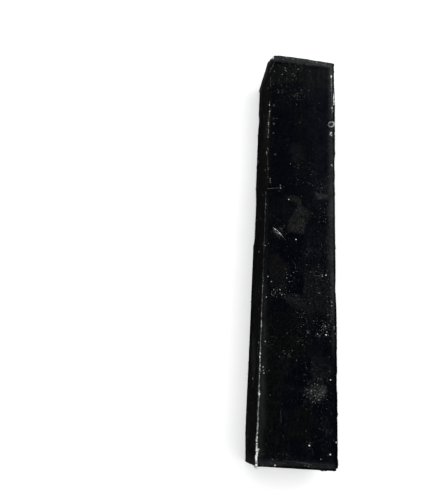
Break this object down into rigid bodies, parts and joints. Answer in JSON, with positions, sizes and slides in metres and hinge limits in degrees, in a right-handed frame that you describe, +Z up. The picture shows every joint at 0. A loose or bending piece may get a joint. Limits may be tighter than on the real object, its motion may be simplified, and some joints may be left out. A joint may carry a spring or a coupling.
{
  "type": "ebony wood blank",
  "caption": "Square-sided near-black ebony turning blank, sealed in wax, with eased and chipped edges and ridges and drops of set wax along them.",
  "frame": {"origin": "middle of the underside, the flat face that the blank lies on", "axes": "+Z up, +Y along the grain towards the far end, +X towards the long side with the wide wax roll on its upper edge"},
  "size_m": [0.051, 0.3, 0.0478],
  "materials": {
    "ebony_wood": "satin",
    "set_wax": "satin"
  },
  "bodies": {
    "root": {"ebony_blank": "ebony_wood"}
  },
  "joints": []
}
